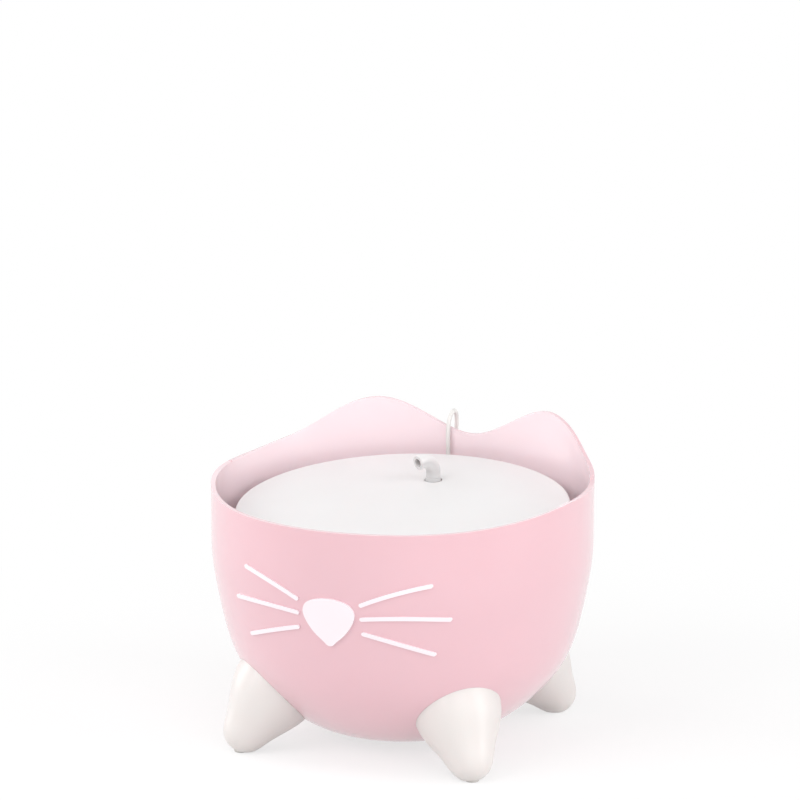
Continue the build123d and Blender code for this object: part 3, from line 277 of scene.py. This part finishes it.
def make_felt():
    """The felt that closes the cells, in rings from its hole to its edge."""
    low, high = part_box("filter_cloth")
    centre = (low + high) / 2
    half = (high.x - low.x) / 2
    build = bmesh.new()
    rows = []
    for ring in range(FELT_RINGS + 1):
        row = []
        for step in range(FELT_STEPS):
            angle = 2 * math.pi * step / FELT_STEPS
            reach = FELT_HOLE + (felt_edge(angle, half) - FELT_HOLE) * ring / FELT_RINGS
            x = reach * math.cos(angle)
            y = reach * math.sin(angle)
            row.append(build.verts.new((centre.x + x, centre.y + y, high.z + felt_rise(x, y))))
        rows.append(row)
    for inner, outer in zip(rows, rows[1:]):
        for step in range(FELT_STEPS):
            after = (step + 1) % FELT_STEPS
            build.faces.new((inner[step], outer[step], outer[after], inner[after]))
    mesh = bpy.data.meshes.new("felt")
    build.to_mesh(mesh)
    build.free()
    mesh.shade_smooth()
    felt_piece = add_object("felt", mesh)
    thick = felt_piece.modifiers.new("thick", "SOLIDIFY")
    thick.thickness = FELT_THICKNESS
    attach(felt_piece, "filter")
    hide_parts("filter_cloth")
    return felt_piece


felt_piece = make_felt()


# ---------------------------------------------------------------- shader nodes
def shader():
    """A new node material and its Principled shader."""
    material = bpy.data.materials.new("look")
    material.use_nodes = True
    return material, material.node_tree.nodes["Principled BSDF"]


def coordinate(tree, kind):
    """The place on the object, or the normal there."""
    return tree.nodes.new("ShaderNodeTexCoord").outputs[kind]


def computed(tree, kind, operation, values, result):
    """What a maths node makes of its values, each of them a socket or a constant."""
    sums = tree.nodes.new(kind)
    sums.operation = operation
    for value, slot in zip(values, sums.inputs):
        if isinstance(value, bpy.types.NodeSocket):
            tree.links.new(value, slot)
        else:
            slot.default_value = value
    return sums.outputs[result]


def number(tree, operation, *values):
    """A number made of numbers."""
    return computed(tree, "ShaderNodeMath", operation, values, "Value")


def vector(tree, operation, *values, result="Vector"):
    """A vector made of vectors, or a number with result="Value"."""
    return computed(tree, "ShaderNodeVectorMath", operation, values, result)


def surface_noise(tree, waves, detail=3.0, stretch=(1, 1, 1)):
    """Noise that sits on the object, with so many waves a metre."""
    mapping = tree.nodes.new("ShaderNodeMapping")
    mapping.inputs["Scale"].default_value = stretch
    tree.links.new(coordinate(tree, "Object"), mapping.inputs["Vector"])
    cloud = tree.nodes.new("ShaderNodeTexNoise")
    cloud.inputs["Scale"].default_value = waves
    cloud.inputs["Detail"].default_value = detail
    tree.links.new(mapping.outputs["Vector"], cloud.inputs["Vector"])
    return cloud.outputs["Fac"]


def two_tone(tree, factor, first, second, low=0.35, high=0.65):
    """A colour that runs from first to second as factor runs from low to high."""
    ramp = tree.nodes.new("ShaderNodeValToRGB")
    stops = zip(ramp.color_ramp.elements, (low, high), (first, second))
    for stop, place, colour in stops:
        stop.position = place
        stop.color = (*colour, 1)
    tree.links.new(factor, ramp.inputs["Fac"])
    return ramp.outputs["Color"]


def in_range(tree, factor, low, high, start=0.0, end=1.0, easing="LINEAR"):
    """factor's start..end turned into low..high."""
    spread = tree.nodes.new("ShaderNodeMapRange")
    spread.interpolation_type = easing
    spread.inputs["From Min"].default_value = start
    spread.inputs["From Max"].default_value = end
    spread.inputs["To Min"].default_value = low
    spread.inputs["To Max"].default_value = high
    tree.links.new(factor, spread.inputs["Value"])
    return spread.outputs["Result"]


def turned_into(tree, factor, first, colour):
    """The first socket's colour where factor is 0 and the given colour where it is 1."""
    mix = tree.nodes.new("ShaderNodeMix")
    mix.data_type = "RGBA"
    mix.inputs["B"].default_value = (*colour, 1)
    tree.links.new(factor, mix.inputs["Factor"])
    tree.links.new(first, mix.inputs["A"])
    return mix.outputs["Result"]


def relief(tree, bsdf, height, depth, strength=1.0):
    """Bumps depth metres deep where height runs from 0 to 1."""
    bump = tree.nodes.new("ShaderNodeBump")
    bump.inputs["Distance"].default_value = depth
    bump.inputs["Strength"].default_value = strength
    tree.links.new(height, bump.inputs["Height"])
    tree.links.new(bump.outputs["Normal"], bsdf.inputs["Normal"])


def srgb(red, green, blue):
    """A screen colour, 0 to 255, as the shader's linear numbers."""
    return tuple(((c / 255 + 0.055) / 1.055) ** 2.4 for c in (red, green, blue))


def shaded(colour, share):
    """The colour made darker, or lighter, by share."""
    return tuple(min(1.0, c * share) for c in colour)


# ---------------------------------------------------------------- materials
# Moulded plastic: waves a metre of its flow marks, gloss marks and grain
FLOW_WAVES = 18
GLOSS_WAVES = 140
GRAIN_WAVES = 2200
GRAIN_DETAIL = 2
GRAIN_STRENGTH = 0.4
FINE_GRAIN = 0.02 * MM
MATT_GRAIN = 0.03 * MM
RUBBER_GRAIN = 0.05 * MM
GLOSS_SPREAD = 0.05
PLASTIC_IOR = 1.5
COAT_ROUGHNESS = 0.12
GLOW_COLOURS = (1.0, 0.6, 0.55)
GLOW_REACH = 0.006

# How far a normal points away from the bowl's axis, where its outer colour and the painted light
# of its inner face begin
OUTER_FROM = 0.1
INNER_FROM = -0.3

# Painted shade on the upright faces: the share of brightness left to them, as these lamps light
# them more than the soft light from above would
PAINTED_SHADE_SHARES = {"lid_white": 0.74, "cover_white_painted_light": 0.76, "pump_white": 0.88}

METAL_WAVES = 900
METAL_SHADE = 0.85
METAL_GLOSS = (-0.08, 0.1)

GRAIN_BUMP = 0.3 * MM

CLEAR_WAVES = 60
CLEAR_SHADE = 0.96
CLEAR_SPREAD = 0.04
CLEAR_IOR = 1.12

# Felt: how wide grey turns into amber, its clouds and the share of white in them, its fibres
FELT_MEET = 4 * MM
FELT_WAVES = 160
FELT_DETAIL = 4
FELT_WHITENESS = (0.1, 0.75)
FIBRE_WAVES = 1800
FIBRE_DETAIL = 6
FIBRE_STRETCH = (1, 1, 0.4)
FIBRE_DEPTH = 0.25 * MM
FIBRE_STRENGTH = 0.8
FELT_ROUGHNESS = 0.9
FELT_SHEEN = 0.3


def moulded(colour, roughness, depth=FINE_GRAIN, mottle=0.985, glow=0.0, coat=0.0):
    """Moulded plastic: faint marks in its colour and gloss, and the fine grain of its mould."""
    material, bsdf = shader()
    tree = material.node_tree
    flow = surface_noise(tree, FLOW_WAVES)
    tree.links.new(two_tone(tree, flow, shaded(colour, mottle), colour), bsdf.inputs["Base Color"])
    marks = surface_noise(tree, GLOSS_WAVES)
    gloss = in_range(tree, marks, roughness - GLOSS_SPREAD, roughness + GLOSS_SPREAD)
    tree.links.new(gloss, bsdf.inputs["Roughness"])
    grain = surface_noise(tree, GRAIN_WAVES, GRAIN_DETAIL)
    relief(tree, bsdf, grain, depth, GRAIN_STRENGTH)
    bsdf.inputs["IOR"].default_value = PLASTIC_IOR
    bsdf.inputs["Coat Weight"].default_value = coat
    bsdf.inputs["Coat Roughness"].default_value = COAT_ROUGHNESS
    if glow:
        bsdf.inputs["Subsurface Weight"].default_value = glow
        bsdf.inputs["Subsurface Radius"].default_value = GLOW_COLOURS
        bsdf.inputs["Subsurface Scale"].default_value = GLOW_REACH
    return material


def own_colour(material):
    """A material's nodes, its colour as it is now, and the input that takes another."""
    tree = material.node_tree
    base = tree.nodes["Principled BSDF"].inputs["Base Color"]
    return tree, base.links[0].from_socket, base


def painted_light_inside(material, colour):
    """Paints light on a round shell's inner face, whose normals point at its axis: a paler colour
    there stands in for the light that the inner walls lack.
    """
    tree, outside, base = own_colour(material)
    level = vector(tree, "MULTIPLY", coordinate(tree, "Object"), (1, 1, 0))
    out = vector(tree, "NORMALIZE", level)
    facing = vector(tree, "DOT_PRODUCT", out, coordinate(tree, "Normal"), result="Value")
    inner = in_range(tree, facing, 0.0, 1.0, OUTER_FROM, INNER_FROM)
    tree.links.new(turned_into(tree, inner, outside, colour), base)


def painted_side_shade(material, share):
    """Paints shade on a piece's upright faces, taking them down to share of their brightness."""
    tree, outside, base = own_colour(material)
    split = tree.nodes.new("ShaderNodeSeparateXYZ")
    tree.links.new(coordinate(tree, "Normal"), split.inputs[0])
    level = number(tree, "ABSOLUTE", split.outputs["Z"])
    dim = tree.nodes.new("ShaderNodeHueSaturation")
    tree.links.new(in_range(tree, level, share, 1.0), dim.inputs["Value"])
    tree.links.new(outside, dim.inputs["Color"])
    tree.links.new(dim.outputs["Color"], base)


def metal(colour, roughness, stretch):
    """Bare metal with fine marks along one way."""
    material, bsdf = shader()
    tree = material.node_tree
    marks = surface_noise(tree, METAL_WAVES, stretch=stretch)
    shades = two_tone(tree, marks, shaded(colour, METAL_SHADE), colour)
    tree.links.new(shades, bsdf.inputs["Base Color"])
    smoother, rougher = METAL_GLOSS
    gloss = in_range(tree, marks, roughness + smoother, roughness + rougher)
    tree.links.new(gloss, bsdf.inputs["Roughness"])
    bsdf.inputs["Metallic"].default_value = 1.0
    return material


def banded(first, second, width, axis, metallic=0.0, roughness=0.4):
    """Bands across one direction of the object, such as wire turns or steel sheets."""
    material, bsdf = shader()
    tree = material.node_tree
    direction = Vector(axis).normalized()
    along = vector(tree, "DOT_PRODUCT", coordinate(tree, "Object"), direction, result="Value")
    turns = number(tree, "MULTIPLY", along, 2 * math.pi / width)
    bands = in_range(tree, number(tree, "SINE", turns), 0.0, 1.0, -1, 1)
    colours = two_tone(tree, bands, first, second, low=0.1, high=0.7)
    tree.links.new(colours, bsdf.inputs["Base Color"])
    relief(tree, bsdf, bands, depth=width / 4)
    bsdf.inputs["Metallic"].default_value = metallic
    bsdf.inputs["Roughness"].default_value = roughness
    return material


def grainy(first, second, size, roughness=0.7):
    """Loose grains: a cell pattern with its own colour for each grain."""
    material, bsdf = shader()
    tree = material.node_tree
    cells = tree.nodes.new("ShaderNodeTexVoronoi")
    cells.inputs["Scale"].default_value = 1 / size
    tree.links.new(coordinate(tree, "Object"), cells.inputs["Vector"])
    split = tree.nodes.new("ShaderNodeSeparateColor")
    tree.links.new(cells.outputs["Color"], split.inputs["Color"])
    colours = two_tone(tree, split.outputs[0], first, second, low=0.1, high=0.9)
    tree.links.new(colours, bsdf.inputs["Base Color"])
    dome = number(tree, "SUBTRACT", 1, cells.outputs["Distance"])
    relief(tree, bsdf, dome, GRAIN_BUMP)
    bsdf.inputs["Roughness"].default_value = roughness
    return material


def clear(colour, roughness, share):
    """Thin clear or tinted plastic that lets share of the light through."""
    material, bsdf = shader()
    tree = material.node_tree
    cloud = surface_noise(tree, CLEAR_WAVES)
    shades = two_tone(tree, cloud, shaded(colour, CLEAR_SHADE), colour)
    tree.links.new(shades, bsdf.inputs["Base Color"])
    gloss = in_range(tree, cloud, roughness - CLEAR_SPREAD, roughness + CLEAR_SPREAD)
    tree.links.new(gloss, bsdf.inputs["Roughness"])
    bsdf.inputs["Transmission Weight"].default_value = share
    bsdf.inputs["IOR"].default_value = CLEAR_IOR
    return material


def milky(colour, roughness, cover):
    """Thin cloudy film that hides cover of what lies behind it."""
    material = moulded(colour, roughness, coat=0.5)
    material.node_tree.nodes["Principled BSDF"].inputs["Alpha"].default_value = cover
    return material


def felt(left, right, white):
    """White felted cloth; the beds show through, grey at the left and amber at the right."""
    material, bsdf = shader()
    tree = material.node_tree
    split = tree.nodes.new("ShaderNodeSeparateXYZ")
    tree.links.new(coordinate(tree, "Object"), split.inputs[0])
    side = in_range(tree, split.outputs["X"], 0.0, 1.0, -FELT_MEET, FELT_MEET)
    under = two_tone(tree, side, left, right, low=0.1, high=0.9)
    cloud = in_range(tree, surface_noise(tree, FELT_WAVES, FELT_DETAIL), *FELT_WHITENESS)
    tree.links.new(turned_into(tree, cloud, under, white), bsdf.inputs["Base Color"])
    fibres = surface_noise(tree, FIBRE_WAVES, FIBRE_DETAIL, FIBRE_STRETCH)
    relief(tree, bsdf, fibres, FIBRE_DEPTH, FIBRE_STRENGTH)
    bsdf.inputs["Roughness"].default_value = FELT_ROUGHNESS
    bsdf.inputs["Sheen Weight"].default_value = FELT_SHEEN
    return material


# Painted light: a pink paler than the bowl's plastic, for its inner face, standing in for the
# light that its inner walls lack
PAINTED_LIGHT_PINK = srgb(255, 232, 237)

LOOKS = {
    "bowl_pink": moulded(srgb(233, 190, 198), 0.34, glow=0.12, coat=0.9),
    "badge_gloss": moulded(srgb(252, 240, 245), 0.16, mottle=0.98, coat=0.5),
    "foot_white": moulded(srgb(229, 224, 221), 0.36, glow=0.1),
    # Painted light and shade on one white plastic: the tray's white is paler than the plastic,
    # standing in for light under the lid's shade, and the lid's white is darker, painted shade
    "cover_white_painted_light": moulded(srgb(252, 250, 251), 0.38, glow=0.08),
    "lid_white": moulded(srgb(237, 235, 235), 0.38, glow=0.08),
    "tube_white": moulded(srgb(250, 247, 244), 0.28),
    "pump_white": moulded(srgb(219, 219, 217), 0.42, MATT_GRAIN),
    "grille_white": moulded(srgb(226, 226, 225), 0.5, MATT_GRAIN),
    "slider_grey": moulded(srgb(176, 174, 172), 0.5),
    "impeller_white": moulded(srgb(230, 230, 226), 0.45),
    "foot_silicone": moulded(srgb(222, 222, 220), 0.3, glow=0.3),
    "pad_rubber": moulded(srgb(206, 202, 198), 0.75, RUBBER_GRAIN),
    "cord_sheath": moulded(srgb(236, 234, 231), 0.5, MATT_GRAIN),
    "plug_white": moulded(srgb(238, 237, 234), 0.45),
    "dark_rubber": moulded(srgb(52, 52, 54), 0.7),
    "ferrite": moulded(srgb(60, 60, 63), 0.45),
    "lamp_ring": moulded(srgb(240, 238, 236), 0.12, coat=0.6),
    "lamp_red": clear(srgb(226, 44, 34), 0.1, 0.35),
    "steel": metal(srgb(200, 201, 204), 0.28, (1, 1, 6)),
    "plug_steel": metal(srgb(214, 214, 216), 0.22, (6, 1, 1)),
    "tie_strap": banded(srgb(225, 225, 223), srgb(240, 240, 238), 0.8 * MM, (0, 0, 1)),
    "board_green": banded(srgb(28, 92, 48), srgb(42, 118, 62), 2.5 * MM, (0, 0, 1)),
    "copper_wire": banded(
        srgb(120, 62, 30), srgb(205, 122, 66), 0.5 * MM, (1, -1, 0), metallic=1.0, roughness=0.35
    ),
    "stator_sheets": banded(
        srgb(70, 72, 76), srgb(130, 132, 136), 0.7 * MM, (1, 1, 0), metallic=1.0, roughness=0.45
    ),
    "carbon": grainy(srgb(70, 72, 69), srgb(150, 153, 148), 1.3 * MM),
    "resin": grainy(srgb(206, 142, 98), srgb(236, 192, 156), 1.1 * MM, 0.35),
    "filter_film": milky(srgb(250, 251, 250), 0.2, 0.2),
    "filter_felt": felt(srgb(208, 215, 211), srgb(254, 238, 226), srgb(255, 254, 251)),
}
for look, material in LOOKS.items():
    material.name = look

# Painted light on the bowl's inner face
painted_light_inside(LOOKS["bowl_pink"], PAINTED_LIGHT_PINK)
# Painted shade on the upright faces of the white pieces
for look, share in PAINTED_SHADE_SHARES.items():
    painted_side_shade(LOOKS[look], share)

# What each CAD node wears, by the start of its name; the longest start counts
WEARS = {
    "bowl": "bowl_pink",
    "nose": "badge_gloss",
    "whisker": "badge_gloss",
    "foot": "foot_white",
    "foot_pad": "pad_rubber",
    "foot_screws": "steel",
    "tray": "cover_white_painted_light",
    "outlet_tower": "cover_white_painted_light",
    "lid": "lid_white",
    "pull_ring": "cover_white_painted_light",
    "pull_ring_pin": "steel",
    "spout": "lid_white",
    "riser_tube": "tube_white",
    "pump_housing": "pump_white",
    "intake_cover": "grille_white",
    "flow_regulator": "slider_grey",
    "impeller": "impeller_white",
    "impeller_shaft": "steel",
    "rotor_magnet": "ferrite",
    "shaft_bush": "dark_rubber",
    "stator_core": "stator_sheets",
    "stator_winding": "copper_wire",
    "control_board": "board_green",
    "led_bezel": "lamp_ring",
    "led_lens": "lamp_red",
    "pump_foot": "foot_silicone",
    "cord_gland": "cord_sheath",
    "cord_tie": "tie_strap",
    "usb_plug_body": "plug_white",
    "usb_plug_shell": "plug_steel",
    "filter_shell": "filter_film",
    "filter_cloth": "filter_felt",
    "carbon_bed": "carbon",
    "resin_bed": "resin",
}


def dress(thing, look):
    """Gives an object one material."""
    thing.data.materials.clear()
    thing.data.materials.append(LOOKS[look])


for name, thing in nodes.items():
    starts = [start for start in WEARS if name.startswith(start)]
    if starts:
        dress(thing, WEARS[max(starts, key=len)])
dress(cord, "cord_sheath")
dress(felt_piece, "filter_felt")


# ---------------------------------------------------------------- edges and grains
def round_edges(thing):
    """Small rounded edges on a CAD node, by modifiers."""
    bevel = thing.modifiers.new("edges", "BEVEL")
    bevel.width = EDGE_RADIUS
    bevel.segments = EDGE_SEGMENTS
    bevel.limit_method = "ANGLE"
    bevel.angle_limit = math.radians(EDGE_ANGLE)
    thing.data.shade_smooth()
    normals = thing.modifiers.new("normals", "WEIGHTED_NORMAL")
    normals.keep_sharp = True


def settle(thing):
    """Draws the grains of a bed a little in from the clear cell's walls, by a modifier."""
    inward = thing.modifiers.new("settled", "DISPLACE")
    inward.mid_level = 0
    inward.strength = -GRAIN_GAP


for name in ROUNDED:
    round_edges(nodes[name])
for name, thing in nodes.items():
    if "_bed_" in name:
        settle(thing)


# ---------------------------------------------------------------- floor and light
def seen_rays(tree):
    """1 for the rays that show a surface: straight, in a reflection or through a clear piece."""
    rays = tree.nodes.new("ShaderNodeLightPath").outputs
    either = number(tree, "MAXIMUM", rays["Is Camera Ray"], rays["Is Glossy Ray"])
    return number(tree, "MAXIMUM", either, rays["Is Transmission Ray"])


def mixed(tree, factor, first, second):
    """One shader where factor is 0 and the other where it is 1."""
    mix = tree.nodes.new("ShaderNodeMixShader")
    tree.links.new(factor, mix.inputs["Fac"])
    tree.links.new(first.outputs[0], mix.inputs[1])
    tree.links.new(second.outputs[0], mix.inputs[2])
    return mix


def plain(tree, kind, value):
    """A diffuse or glowing shader of one grey."""
    grey = tree.nodes.new(kind)
    grey.inputs["Color"].default_value = (value, value, value, 1)
    return grey


def make_floor():
    """A pale floor: it bounces light, shows a faint shadow near the fountain and white beyond."""
    bpy.ops.mesh.primitive_plane_add(size=FLOOR_SIZE)
    floor = bpy.context.object
    floor.name = "floor"
    material = bpy.data.materials.new("floor_white")
    material.use_nodes = True
    tree = material.node_tree
    tree.nodes.clear()
    out = tree.nodes.new("ShaderNodeOutputMaterial")
    lit = plain(tree, "ShaderNodeBsdfDiffuse", SHADOW_SHARE)
    glowing = plain(tree, "ShaderNodeEmission", 1 - SHADOW_SHARE)
    shadowed = tree.nodes.new("ShaderNodeAddShader")
    tree.links.new(lit.outputs[0], shadowed.inputs[0])
    tree.links.new(glowing.outputs[0], shadowed.inputs[1])
    away = vector(tree, "LENGTH", coordinate(tree, "Object"), result="Value")
    fade = in_range(tree, away, 0.0, 1.0, SHADOW_FROM, SHADOW_TO, "SMOOTHSTEP")
    shown = mixed(tree, fade, shadowed, plain(tree, "ShaderNodeEmission", 1.0))
    bounce = plain(tree, "ShaderNodeBsdfDiffuse", FLOOR_BOUNCE)
    surface = mixed(tree, seen_rays(tree), bounce, shown)
    tree.links.new(surface.outputs[0], out.inputs["Surface"])
    floor.data.materials.append(material)


def add_lamp(name, place, size, power):
    """A soft rectangular lamp that faces the fountain."""
    lamp = add_object(name, bpy.data.lights.new(name, "AREA"))
    lamp.data.shape = "RECTANGLE"
    lamp.data.size, lamp.data.size_y = size
    lamp.data.energy = power
    lamp.location = place
    lamp.rotation_mode = "QUATERNION"
    lamp.rotation_quaternion = (LIT_POINT - Vector(place)).to_track_quat("-Z", "Y")


def make_world():
    """Even white light; the camera and clear pieces see plain white."""
    world = bpy.data.worlds.new("studio")
    bpy.context.scene.world = world
    world.use_nodes = True
    tree = world.node_tree
    back = tree.nodes["Background"]
    back.inputs["Color"].default_value = (1, 1, 1, 1)
    level = in_range(tree, seen_rays(tree), WORLD_LIGHT, 1.0)
    tree.links.new(level, back.inputs["Strength"])


make_floor()
make_world()
for name, (place, size, power) in LAMPS.items():
    add_lamp(name, place, size, power)

bpy.context.scene.view_settings.view_transform = "Standard"
